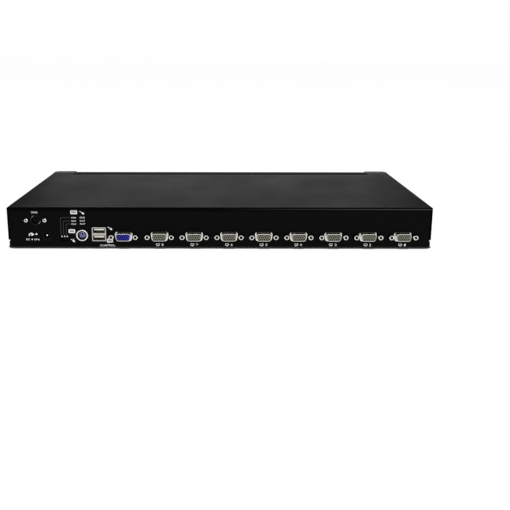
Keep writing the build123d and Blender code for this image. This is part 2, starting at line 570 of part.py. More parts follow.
def din_insert(x, z, face_y, back_y, radius):
    """Disc with six pin holes, a rectangular key slot and three notches in its rim."""
    disc = rod_y(x, z, radius, face_y, back_y)
    disc = fillet(disc.edges().sort_by(Axis.Y)[0], 0.25)
    for dx, dz in DIN_PINS:
        disc -= rod_y(x + dx, z + dz, 0.55, face_y - 1, face_y + 5)
    disc -= block(x - 0.85, x + 0.85, face_y - 1, face_y + 5, z - 0.4, z + 1.9)
    for turn in (-65, 65, 180):
        notch = Rot(0, turn, 0) * Pos(0, 0, radius) * Box(0.9, 5.0, 1.1)
        disc -= Pos(x, face_y + 1.5, z) * notch
    return disc


def keyboard_port():
    """Round 6-pin console socket: a nickel shell with a coloured insert."""
    x, z = KEYBOARD_X, KEYBOARD_Z
    inner, outer = KEYBOARD_RING
    ring = rod_y(x, z, outer, PANEL_Y - 0.9, PANEL_BACK_Y + 0.3)
    ring = fillet(ring.edges().sort_by(Axis.Y)[0], 0.45)
    shell = ring + block(x - 7.0, x + 7.0, PANEL_BACK_Y + 0.2, PANEL_BACK_Y + 12.0, BOARD_TOP, z + 6.6)
    shell -= rod_y(x, z, inner, PANEL_Y - 2, PANEL_BACK_Y + 9.0)
    shell = chamfer(min(edges_at(shell, Axis.Y, PANEL_Y - 0.9), key=lambda edge: edge.length), 0.15)
    keep("keyboard_port_shell", shell)
    keep("keyboard_port_insert", din_insert(x, z, PANEL_Y + 1.3, PANEL_BACK_Y + 9.0, KEYBOARD_INSERT))


def double_bus_port():
    """Two flat four-contact sockets, one above the other, in one folded steel shell."""
    x, z = BUS_X, BUS_Z
    front, back = PANEL_Y - 0.9, PANEL_BACK_Y + 15.0
    shell = slab(Pos(x, z) * Rectangle(*BUS_SHELL), front, back)
    rim = Pos(x, z) * chamfer(Rectangle(*BUS_RIM).vertices(), 0.7)
    shell += slab(rim, front, front + 0.4)
    shell = fillet(edges_at(shell, Axis.Y, front), 0.12)
    for side in (-1, 1):
        centre = z + side * BUS_STEP / 2
        shell -= slab(round_rect(x, centre, BUS_OPENING[0], BUS_OPENING[1], 0.35), front - 1, back - 0.3)
        for dx in (-3.0, 3.0):
            for edge in (-1, 1):
                root = centre + edge * (BUS_OPENING[1] / 2 + 0.1)
                finger = Polygon((front + 1.0, root), (front + 5.0, root), (front + 3.4, root - edge * 0.55), align=None)
                spring = extrude(Plane(origin=(x + dx - 0.9, 0, 0), x_dir=(0, 1, 0), z_dir=(1, 0, 0)) * finger, 1.8)
                shell += spring
    keep("double_bus_shell", shell)
    tongues, blades = [], []
    for side in (-1, 1):
        centre = z + side * BUS_STEP / 2
        low = centre + 0.05
        half = BUS_TONGUE[0] / 2
        tongue = block(x - half, x + half, front + 1.2, back - 4.4, low, low + BUS_TONGUE[1])
        tongue = chamfer(tongue.faces().sort_by(Axis.Y)[0].edges(), 0.3)
        tongue += block(x - 6.1, x + 6.1, back - 4.4, back - 0.4, centre - 2.4, centre + 2.4)
        tongues.append(tongue)
        blades += [block(x + dx - 0.5, x + dx + 0.5, front + 2.2, back - 4.5, low - 0.15, low) for dx in (-3.5, -1.0, 1.0, 3.5)]
    keep("double_bus_tongues", *tongues)
    keep("double_bus_contacts", *blades)


def link_port():
    """Round daisy-chain socket, screwed to the panel from outside."""
    x, z = LINK_X, LINK_Z
    flange = slab(Pos(x, z) * SlotCenterToCenter(LINK_SCREW_PITCH, 7.0), PANEL_BACK_Y, PANEL_BACK_Y + 2.4)
    housing = rod_y(x, z, 5.95, PANEL_Y - 0.3, PANEL_BACK_Y + 2.4)
    housing = fillet(housing.edges().sort_by(Axis.Y)[0], 0.25)
    housing += flange + rod_y(x, z, 7.4, PANEL_BACK_Y, PANEL_BACK_Y + 13.0)
    housing -= rod_y(x, z, LINK_SHIELD[1] + 0.05, PANEL_Y - 2, PANEL_BACK_Y + 10.0)
    for side in (-1, 1):
        housing -= rod_y(x + side * LINK_SCREW_PITCH / 2, z, M3_GRIP, PANEL_BACK_Y - 1, PANEL_BACK_Y + 4)
    keep("link_port_housing", housing)
    keep("link_port_insert", din_insert(x, z, PANEL_Y + 2.0, PANEL_BACK_Y + 10.0, LINK_INSERT))
    inner, outer = LINK_SHIELD
    shield = rod_y(x, z, outer, PANEL_Y + 1.2, PANEL_BACK_Y + 10.0) - rod_y(x, z, inner, PANEL_Y, PANEL_BACK_Y + 11.0)
    keep("link_port_shield", shield)
    screw = Rot(90, 0, 0) * pan_screw(5.0, LINK_SCREW_HEAD)
    keep("link_port_screws", *[Pos(x + side * LINK_SCREW_PITCH / 2, PANEL_Y, z) * screw for side in (-1, 1)])


def power_jack():
    """Barrel jack for the external supply: a moulded body round a centre pin."""
    x, z = POWER_X, POWER_Z
    body = block(x - 4.7, x + 4.7, PANEL_Y + 0.1, PANEL_BACK_Y + 12.5, BOARD_TOP, z + 3.6)
    body = fillet([e for e in body.edges().filter_by(Axis.Y) if e.center().Z > z], 0.5)
    body -= rod_y(x, z, 3.15, PANEL_Y - 1, PANEL_BACK_Y + 9.0)
    body -= rod_y(x, z, 1.1, PANEL_BACK_Y, PANEL_BACK_Y + 14.0)
    keep("power_jack_body", body)
    pin = rod_y(x, z, 1.05, PANEL_Y + 0.7, PANEL_BACK_Y + 13.0)
    keep("power_jack_pin", fillet(pin.edges().sort_by(Axis.Y)[0], 0.6))


def mode_switch():
    """Three-position slide switch behind a window in the panel."""
    x, z = MODE_X, MODE_Z
    y0, y1 = PANEL_BACK_Y + 0.1, PANEL_BACK_Y + 5.1
    body = block(x - 7.2, x + 7.2, y0, y1, BOARD_TOP, BOARD_TOP + 4.0)
    body -= block(x - 6.2, x + 6.2, y0 + 0.8, y1 - 0.6, z - 1.4, z + 1.4)
    body -= block(x - MODE_TRAVEL - 1.5, x + MODE_TRAVEL + 1.5, y0 - 1, y0 + 1, z - 1.15, z + 1.15)
    keep("mode_switch_body", body)
    slider = block(x - 3.3, x + 3.3, y0 + 1.0, y1 - 0.8, z - 1.2, z + 1.2)
    knob = block(x - 1.1, x + 1.1, PANEL_Y + 0.1, y0 + 1.2, z - 0.9, z + 0.9)
    knob = fillet(knob.faces().sort_by(Axis.Y)[0].edges(), 0.2)
    keep("mode_switch_slider", slider + knob)


# ---- build and write ----------------------------------------------------------------------------
def build():
    base_chassis()
    top_cover()
    cover_screws()
    front_bezel()
    end_cap("left_end_cap", -1)
    end_cap("right_end_cap", 1)
    front_board()
    light_pipes()
    port_buttons()
    bank_display()
    main_board()
    standoffs()
    board_and_bezel_screws()
    board_chips()
    capacitors()
    buzzer()
    ribbon_cables()
    video_ports()
    keyboard_port()
    double_bus_port()
    link_port()
    power_jack()
    mode_switch()


def write():
    os.makedirs("parts", exist_ok=True)
    for name, shapes in PARTS.items():
        solids = [solid for shape in shapes for solid in shape.solids()]
        export_step(solids[0] if len(solids) == 1 else Compound(children=solids), f"parts/{name}.step")
        print(name, len(solids))


build()
write()
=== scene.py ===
import json
from math import cos, pi, radians, sin

import bmesh
import bpy
from mathutils import Matrix, Vector


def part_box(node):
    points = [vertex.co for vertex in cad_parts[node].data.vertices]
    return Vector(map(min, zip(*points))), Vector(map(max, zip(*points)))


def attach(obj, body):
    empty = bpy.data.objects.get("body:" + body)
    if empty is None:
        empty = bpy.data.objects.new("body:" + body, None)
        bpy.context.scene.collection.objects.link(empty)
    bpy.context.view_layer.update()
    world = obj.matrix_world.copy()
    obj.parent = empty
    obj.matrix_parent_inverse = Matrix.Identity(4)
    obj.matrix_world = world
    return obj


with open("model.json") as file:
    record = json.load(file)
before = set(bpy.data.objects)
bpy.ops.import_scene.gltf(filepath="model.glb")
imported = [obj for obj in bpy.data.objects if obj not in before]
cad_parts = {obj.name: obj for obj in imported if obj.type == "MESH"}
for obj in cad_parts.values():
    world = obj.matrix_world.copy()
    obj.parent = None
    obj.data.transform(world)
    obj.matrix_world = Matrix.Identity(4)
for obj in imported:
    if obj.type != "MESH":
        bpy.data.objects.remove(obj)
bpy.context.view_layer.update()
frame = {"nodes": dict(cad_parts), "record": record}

# Looks of an eight-port KVM switch for a rack. The frame is the part's own: metres, +X to the right as
# seen from the connector panel, +Y from the connector panel to the button panel, +Z up.

MM = 0.001
X, Y, Z = 0, 1, 2
BODY = "kvm_body"
INK = 0.025 * MM  # thickness of a printed mark
SHARP_ANGLE = radians(32)  # edges sharper than this stay sharp
MITRE_LIMIT = 0.3  # keeps the corner of a printed line from growing a spike
# Grey of the painted highlights along the cover's and the chassis's edges.
PAINTED_HIGHLIGHT_GREY = (0.09, 0.09, 0.09)


def lowest(node, axis):
    """Lowest coordinate of a CAD node along an axis, in metres."""
    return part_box(node)[0][axis]


def highest(node, axis):
    """Highest coordinate of a CAD node along an axis, in metres."""
    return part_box(node)[1][axis]


PANEL_Y = lowest("base_chassis", Y)
COVER_REAR_Y = lowest("top_cover", Y)
HALF_WIDTH = highest("top_cover", X)
TOP_Z = highest("top_cover", Z)
BEZEL_Y = highest("front_bezel", Y)
TONGUE_Y = lowest("front_bezel", Y)
BEZEL_HALF_WIDTH = highest("front_bezel", X)
PORT_NODES = [f"pc{i}_shell" for i in range(1, 9)]
BUTTON_NODES = [f"port_button_{i}" for i in range(1, 9)]


def middle(node):
    """Centre of a CAD node's box, in metres."""
    low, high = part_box(node)
    return (Vector(low) + Vector(high)) / 2


# ---- material helpers ---------------------------------------------------------------------------
class Look:
    """A Principled material and the few nodes that give a surface its detail, in object coordinates."""

    def __init__(self, name, metallic=0.0, roughness=0.5, specular=0.5, **sockets):
        self.material = bpy.data.materials.new(name)
        self.material.use_nodes = True
        self.tree = self.material.node_tree
        self.shader = self.tree.nodes["Principled BSDF"]
        self.set("Metallic", metallic)
        self.set("Roughness", roughness)
        self.set("Specular IOR Level", specular)
        for socket, value in sockets.items():
            self.set(socket.replace("_", " "), value)
        self.place = self.node("ShaderNodeTexCoord").outputs["Object"]

    def node(self, kind, **settings):
        made = self.tree.nodes.new(kind)
        for setting, value in settings.items():
            setattr(made, setting, value)
        return made

    def set(self, socket, value):
        self.shader.inputs[socket].default_value = value

    def link(self, output, socket):
        self.tree.links.new(output, socket)

    def stretched(self, x, y, z):
        """Object coordinates scaled by x, y and z."""
        mapping = self.node("ShaderNodeMapping")
        mapping.inputs["Scale"].default_value = (x, y, z)
        self.link(self.place, mapping.inputs["Vector"])
        return mapping.outputs["Vector"]

    def noise(self, size, detail=2.0, rough=0.5, vector=None):
        """Noise whose blobs are about size across, in metres."""
        texture = self.node("ShaderNodeTexNoise")
        texture.inputs["Scale"].default_value = 1.0 / size
        texture.inputs["Detail"].default_value = detail
        texture.inputs["Roughness"].default_value = rough
        self.link(vector or self.place, texture.inputs["Vector"])
        return texture.outputs["Fac"]

    def cells(self, size, feature="F1"):
        """Distance in a pattern of cells about size across, from their centres or their edges."""
        texture = self.node("ShaderNodeTexVoronoi", feature=feature)
        texture.inputs["Scale"].default_value = 1.0 / size
        self.link(self.place, texture.inputs["Vector"])
        return texture.outputs["Distance"]

    def spread(self, value, low, high, start=0.3, end=0.7):
        """Map a texture's usual span to low..high."""
        mapper = self.node("ShaderNodeMapRange")
        limits = {"From Min": start, "From Max": end, "To Min": low, "To Max": high}
        for socket, number in limits.items():
            mapper.inputs[socket].default_value = number
        self.link(value, mapper.inputs["Value"])
        return mapper.outputs["Result"]

    def math(self, operation, a, b):
        """Result of an operation on two values, each a number or an output."""
        operator = self.node("ShaderNodeMath", operation=operation)
        for socket, value in zip(operator.inputs, (a, b)):
            if isinstance(value, (int, float)):
                socket.default_value = value
            else:
                self.link(value, socket)
        return operator.outputs["Value"]

    def blend(self, factor, first, second):
        """Colour that goes from first to second with factor. Either may be a colour or an output."""
        mix = self.node("ShaderNodeMix", data_type="RGBA")
        self.link(factor, mix.inputs["Factor"])
        for socket, colour in ((mix.inputs["A"], first), (mix.inputs["B"], second)):
            if isinstance(colour, tuple):
                socket.default_value = (*colour, 1.0)
            else:
                self.link(colour, socket)
        return mix.outputs["Result"]

    def colour(self, output):
        self.link(output, self.shader.inputs["Base Color"])

    def roughness(self, base, extra=None):
        """Roughness from an output, or from the sum of two."""
        total = base if extra is None else self.math("ADD", base, extra)
        self.link(total, self.shader.inputs["Roughness"])

    def bump(self, height, depth, under=None):
        """Bump of the given depth in metres, on top of another bump if one is given."""
        node = self.node("ShaderNodeBump")
        node.inputs["Strength"].default_value = 1.0
        node.inputs["Distance"].default_value = depth
        self.link(height, node.inputs["Height"])
        if under is not None:
            self.link(under, node.inputs["Normal"])
        self.link(node.outputs["Normal"], self.shader.inputs["Normal"])
        return node.outputs["Normal"]

    def cavity(self, reach, shut=0.3, open_=0.75, samples=8):
        """Ambient occlusion as a mask for painted shade: 0 deep inside a hole or a gap, 1 on an open face.
        """
        shade = self.node("ShaderNodeAmbientOcclusion", samples=samples)
        shade.inputs["Distance"].default_value = reach
        return self.spread(shade.outputs["AO"], 0.0, 1.0, shut, open_)

    def part_of(self, vector, axis):
        split = self.node("ShaderNodeSeparateXYZ")
        self.link(vector, split.inputs["Vector"])
        return split.outputs[axis]

    def coordinate(self, axis):
        return self.part_of(self.place, axis)

    def upward(self):
        """How much the surface faces up: 1 on a lid, 0 on a wall."""
        return self.part_of(self.node("ShaderNodeNewGeometry").outputs["Normal"], "Z")

    def above(self, axis, position, softness=0.02 * MM):
        """0 below a position along an axis, 1 above it."""
        return self.spread(self.coordinate(axis), 0.0, 1.0, position - softness, position + softness)


# ---- materials ----------------------------------------------------------------------------------
def tone(colour, factor):
    return tuple(channel * factor for channel in colour)


def rubbed_lid(look):
    """Painted highlights on top of the cover: by the rear fold, fading forwards, and along the bezel's
    notch.
    """
    fold_highlight = 0.23
    rear_highlight = 0.1
    notch_highlight = 0.5
    fold = look.math("SUBTRACT", fold_highlight, look.above("Y", COVER_REAR_Y + 4 * MM, 0.5 * MM))
    rear = look.spread(look.coordinate("Y"), rear_highlight, 0.0, COVER_REAR_Y, COVER_REAR_Y + 40 * MM)
    notch = look.math("MULTIPLY", look.above("Y", TONGUE_Y - 3.5 * MM, 2.5 * MM), notch_highlight)
    from_middle = look.math("ABSOLUTE", look.coordinate("X"), 0.0)
    between_caps = look.spread(from_middle, 1.0, 0.1, BEZEL_HALF_WIDTH, BEZEL_HALF_WIDTH + 1 * MM)
    at_rear = look.math("MAXIMUM", fold, rear)
    scuff_wear_and_highlight = look.math("MAXIMUM", at_rear, look.math("MULTIPLY", notch, between_caps))
    return look.math("MULTIPLY", scuff_wear_and_highlight, look.above("Z", TOP_Z - 0.12 * MM, 0.08 * MM))


def rubbed_lip(look):
    """Painted highlight on a band of the cover's folded lip, as if lit from the right: none at its middle
    and most at its right end.
    """
    lip_highlight = 0.6
    band = look.math("SUBTRACT", look.above("Z", TOP_Z - 2.5 * MM), look.above("Z", TOP_Z - 1.5 * MM))
    rear_face = look.math("SUBTRACT", 1.0, look.above("Y", COVER_REAR_Y + 1 * MM))
    to_the_right = look.spread(look.coordinate("X"), 0.0, lip_highlight, 0.0, HALF_WIDTH)
    return look.math("MULTIPLY", look.math("MULTIPLY", band, rear_face), to_the_right)


def cover_edges(look):
    """Painted highlights on the cover's paint, on the lid and on the lip."""
    return look.math("MAXIMUM", rubbed_lid(look), rubbed_lip(look))


def chassis_edges(look):
    """Painted highlight on the fold from the connector panel to the underside."""
    fold_highlight = 0.4
    low = look.math("SUBTRACT", 1.0, look.above("Z", 1.3 * MM, 0.3 * MM))
    rear = look.math("SUBTRACT", fold_highlight, look.above("Y", PANEL_Y + 1.5 * MM, 0.3 * MM))
    return look.math("MAXIMUM", 0.0, look.math("MULTIPLY", low, rear))


def powder_coat(name, colour, roughness, specular, edges):
    """Black paint with a fine grain and a soft orange peel, painted shade in its corners and creases, and
    painted highlights where the edges mask puts them.
    """
    look = Look(name, roughness=roughness, specular=specular)
    patches = look.noise(60 * MM, detail=3.0)
    grain = look.noise(0.45 * MM, detail=3.0, rough=0.6)
    flecks = look.blend(look.spread(grain, 0.0, 1.0), tone(colour, 0.82), tone(colour, 1.2))
    faded = look.blend(look.spread(patches, 0.0, 0.35), flecks, tone(colour, 1.25))
    # Painted shade: the paint darkens to a tenth of its colour in corners, creases and gaps.
    coat = look.blend(look.cavity(3 * MM, 0.5, 0.9), tone(colour, 0.1), faded)
    # Painted highlights: the edges mask lightens the paint towards a mid grey.
    look.colour(look.blend(edges(look), coat, PAINTED_HIGHLIGHT_GREY))
    sheen_drift = look.spread(patches, roughness - 0.03, roughness + 0.04)
    look.roughness(look.spread(grain, -0.05, 0.05), sheen_drift)
    peel = look.bump(look.noise(2.2 * MM, detail=1.0), 0.012 * MM)
    look.bump(grain, 0.02 * MM, under=peel)
    return look.material


def moulding(name, colour, roughness=0.45, grain_size=0.25 * MM, depth=0.008 * MM,
             hole_shade=(1.5 * MM, 0.35, 0.75), **sockets):
    """Moulded plastic with an eroded grain and faint flow marks, with painted shade in its holes."""
    look = Look(name, roughness=roughness, **sockets)
    grain = look.noise(grain_size)
    flow = look.noise(7 * MM, vector=look.stretched(1.0, 1.0, 0.35))
    face = look.blend(look.spread(flow, 0.0, 1.0), tone(colour, 0.92), tone(colour, 1.08))
    # Painted shade: the colour darkens towards black deep in holes and gaps.
    look.colour(look.blend(look.cavity(*hole_shade), tone(colour, 0.04), face))
    sheen_drift = look.spread(flow, roughness - 0.03, roughness + 0.03)
    look.roughness(look.spread(grain, -0.04, 0.04), sheen_drift)
    look.bump(grain, depth)
    return look.material


def shell_root(look):
    """Mask of a painted dark reflection: 1 in the groove between the top of a D tube and the rim of its
    collar, and 0 elsewhere.
    """
    first = middle(PORT_NODES[0])
    last = middle(PORT_NODES[-1])
    pitch = (first.x - last.x) / (len(PORT_NODES) - 1)
    from_first = look.math("SUBTRACT", look.coordinate("X"), first.x)
    from_port = look.math("PINGPONG", from_first, pitch / 2)
    between_corners = look.spread(from_port, 1.0, 0.0, 7.2 * MM, 8.2 * MM)
    top = look.above("Z", first.z + 3.3 * MM, 0.3 * MM)
    root = look.above("Y", PANEL_Y - 1.3 * MM, 0.35 * MM)
    rim = look.above("Y", PANEL_Y - 0.11 * MM, 0.02 * MM)
    groove = look.math("MULTIPLY", look.math("SUBTRACT", root, rim), top)
    return look.math("MULTIPLY", groove, between_corners)


def plated(name, colour, roughness=0.08, scuff_wear_and_highlight=0.05, brushed=(1.0, 1.0, 1.0),
           hollow_shade=(2.5 * MM, 0.3, 0.75), painted_reflection=None):
    """Plated metal with faint waves, small scuffs and duller patches, painted shade in its hollows, and a
    painted dark reflection where a mask for one is given.
    """
    look = Look(name, metallic=1.0, roughness=roughness)
    patches = look.noise(3.5 * MM, detail=3.0)
    scuffs = look.noise(0.5 * MM, detail=3.0, rough=0.65, vector=look.stretched(*brushed))
    bright = look.blend(look.spread(patches, 0.0, 1.0), tone(colour, 0.86), colour)
    # Painted shade: the metal darkens towards black deep in its hollows.
    unshaded = look.blend(look.cavity(*hollow_shade), tone(colour, 0.03), bright)
    # Painted dark reflection: where a mask is given, the metal turns near black.
    look.colour(look.blend(painted_reflection(look), unshaded, tone(colour, 0.04)) if painted_reflection else unshaded)
    look.roughness(look.spread(scuffs, -0.02, scuff_wear_and_highlight), look.spread(patches, roughness, roughness + 0.04))
    waves = look.bump(look.noise(1.4 * MM, detail=1.0), 0.01 * MM)
    look.bump(scuffs, 0.002 * MM, under=waves)
    return look.material


def bezel_look():
    """Glossy moulding with an eroded upper face, whose sunk panel is a matte film."""
    look = Look("bezel_plastic", roughness=0.12, specular=0.12)
    film = look.math("SUBTRACT", 1.0, look.above("Y", BEZEL_Y - 0.2 * MM))
    dust = look.noise(1.2 * MM, detail=4.0, rough=0.7)
    dusty = look.spread(dust, 0.0, 1.0, 0.5, 0.8)
    shell = look.blend(dusty, (0.008, 0.008, 0.009), (0.016, 0.016, 0.018))
    grain = look.noise(0.3 * MM)
    sheet = look.blend(look.spread(grain, 0.0, 1.0), (0.022, 0.023, 0.026), (0.034, 0.035, 0.039))
    look.colour(look.blend(film, shell, sheet))
    eroded = look.spread(look.upward(), 0.0, 0.8, 0.6, 0.9)
    matte = look.math("MAXIMUM", look.math("MULTIPLY", film, 0.38), eroded)
    look.roughness(matte, look.spread(dust, 0.10, 0.17))
    look.bump(look.math("MULTIPLY", grain, film), 0.012 * MM)
    return look.material


def board_look():
    """Green solder mask over copper tracks, with tinned pads."""
    look = Look("board_laminate", roughness=0.3, specular=0.6)
    tracks = look.cells(3.0 * MM, "DISTANCE_TO_EDGE")
    copper = look.spread(tracks, 1.0, 0.0, 0.02, 0.05)
    mask = look.blend(copper, (0.008, 0.075, 0.028), (0.02, 0.14, 0.05))
    pads = look.spread(look.cells(4.2 * MM), 1.0, 0.0, 0.10, 0.13)
    look.colour(look.blend(pads, mask, (0.55, 0.52, 0.42)))
    look.bump(copper, 0.03 * MM)
    return look.material


def chip_look():
    """Moulded epoxy on tinned leads."""
    look = Look("chip_epoxy", roughness=0.55)
    grain = look.noise(0.2 * MM)
    body = look.blend(look.spread(grain, 0.0, 1.0), (0.012, 0.012, 0.013), (0.025, 0.025, 0.026))
    board_top = highest("main_board", Z)
    lead = look.math("SUBTRACT", 1.0, look.above("Z", board_top + 0.3 * MM))
    look.colour(look.blend(lead, body, (0.5, 0.5, 0.5)))
    look.bump(grain, 0.01 * MM)
    return look.material


def capacitor_look():
    """Printed sleeve with a bare metal top."""
    look = Look("capacitor_can", roughness=0.35)
    top = look.spread(look.upward(), 0.0, 1.0, 0.7, 0.9)
    mottle = look.noise(1.5 * MM)
    sleeve = look.blend(look.spread(mottle, 0.0, 1.0), (0.02, 0.03, 0.06), (0.03, 0.04, 0.08))
    look.colour(look.blend(top, sleeve, (0.62, 0.62, 0.64)))
    look.link(top, look.shader.inputs["Metallic"])
    look.bump(mottle, 0.01 * MM)
    return look.material


def ribbon_look():
    """Parallel ridges of a flat cable."""
    look = Look("ribbon_grey", roughness=0.5)
    wire_pitch = 1.27 * MM
    wires = look.node("ShaderNodeTexWave", bands_direction="X")
    wires.inputs["Scale"].default_value = 1.0 / (pi * wire_pitch)
    look.link(look.place, wires.inputs["Vector"])
    ridge = wires.outputs["Fac"]
    look.colour(look.blend(ridge, (0.22, 0.23, 0.24), (0.45, 0.46, 0.48)))
    look.bump(ridge, 0.2 * MM)
    return look.material


def display_look():
    """Dark face whose sunk segments are pale."""
    look = Look("display_face", roughness=0.5)
    face = look.above("Y", highest("bank_display", Y) - 0.15 * MM)
    grain = look.noise(0.4 * MM)
    segments = look.blend(look.spread(grain, 0.0, 1.0), (0.50, 0.46, 0.42), (0.60, 0.55, 0.50))
    look.colour(look.blend(face, segments, (0.03, 0.03, 0.03)))
    look.bump(grain, 0.01 * MM)
    return look.material


def clear(name, colour, roughness, transmission=1.0):
    """Clear moulded plastic with a faint cloud in it."""
    look = Look(name, roughness=roughness, specular=0.5, Transmission_Weight=transmission, IOR=1.49)
    cloud = look.noise(2 * MM)
    look.colour(look.blend(look.spread(cloud, 0.0, 1.0), tone(colour, 0.95), colour))
    look.roughness(look.spread(cloud, roughness, roughness + 0.05))
    look.bump(cloud, 0.01 * MM)
    return look.material


def ink(name, colour):
    """Screen-printed ink with a slightly uneven film."""
    look = Look(name, roughness=0.6, specular=0.3)
    speckle = look.noise(0.18 * MM, detail=3.0, rough=0.6)
    look.colour(look.blend(look.spread(speckle, 0.0, 1.0), tone(colour, 0.88), colour))
    look.bump(speckle, 0.006 * MM)
    return look.material


def make_materials():
    """One material for each of the record's slots."""
    along_y = (1.0, 0.1, 1.0)
    return {
        "cover_paint": powder_coat("cover_paint", (0.0009, 0.0009, 0.0009), 0.42, 0.02, cover_edges),
        "chassis_paint": powder_coat("chassis_paint", (0.0033, 0.0033, 0.0032), 0.55, 0.02,
                                     chassis_edges),
        "bezel_plastic": bezel_look(),
        "cap_plastic": moulding("cap_plastic", (0.02, 0.02, 0.021), 0.5, 0.4 * MM, 0.02 * MM),
        "black_screw": plated("black_screw", (0.05, 0.05, 0.055), 0.35),
        "zinc_screw": plated("zinc_screw", (0.82, 0.82, 0.82), 0.12, hollow_shade=(1.0 * MM, 0.6, 0.95)),
        "brass_post": plated("brass_post", (0.75, 0.58, 0.30), 0.2),
        "board_laminate": board_look(),
        "switch_plastic": moulding("switch_plastic", (0.03, 0.03, 0.03)),
        "led_lens": moulding("led_lens", (0.65, 0.68, 0.60), 0.2),
        "clear_pipe": clear("clear_pipe", (0.86, 0.92, 0.88), 0.08),
        "display_face": display_look(),
        "smoked_window": clear("smoked_window", (0.30, 0.06, 0.06), 0.05, 0.9),
        "chip_epoxy": chip_look(),
        "capacitor_can": capacitor_look(),
        "black_moulding": moulding("black_moulding", (0.003, 0.003, 0.003), 0.5, specular=0.06),
        "ribbon_grey": ribbon_look(),
        "gold_contact": plated("gold_contact", (0.90, 0.70, 0.36), 0.2),
        "jack_nickel": plated("jack_nickel", (0.95, 0.95, 0.92)),
        "ring_nickel": plated("ring_nickel", (0.84, 0.85, 0.83)),
        "shell_nickel": plated("shell_nickel", (0.76, 0.75, 0.69), hollow_shade=(1.5 * MM, 0.1, 0.4),
                               painted_reflection=shell_root),
        "violet_insert": moulding("violet_insert", (0.17, 0.16, 0.34), 0.45),
        "bus_steel": plated("bus_steel", (0.46, 0.45, 0.42), 0.12, brushed=along_y),
        "cream_tongue": moulding("cream_tongue", (0.82, 0.78, 0.70), 0.4),
        "dark_housing": moulding("dark_housing", (0.004, 0.004, 0.004), 0.45, specular=0.08),
        "switch_frame": plated("switch_frame", (0.02, 0.02, 0.02), 0.4),
        "grey_insulator": moulding("grey_insulator", (0.165, 0.16, 0.125), specular=0.2,
                                   hole_shade=(1.5 * MM, 0.6, 0.9)),
        "blue_insulator": moulding("blue_insulator", (0.016, 0.018, 0.26), specular=0.2,
                                   hole_shade=(1.5 * MM, 0.5, 0.85)),
        "button_plastic": moulding("button_plastic", (0.045, 0.045, 0.05), 0.4, 0.35 * MM, 0.015 * MM),
    }


def dress_cad_nodes(materials):
    """Give each CAD node its slot's material, with smooth shading across its gentle edges."""
    slots = {part["node"]: part["material_slot"] for part in frame["record"]["subparts"]}
    for name, node in frame["nodes"].items():
        node.data.materials.clear()
        node.data.materials.append(materials[slots[name]])
        node.data.shade_smooth()
        node.data.set_sharp_from_angle(angle=SHARP_ANGLE)


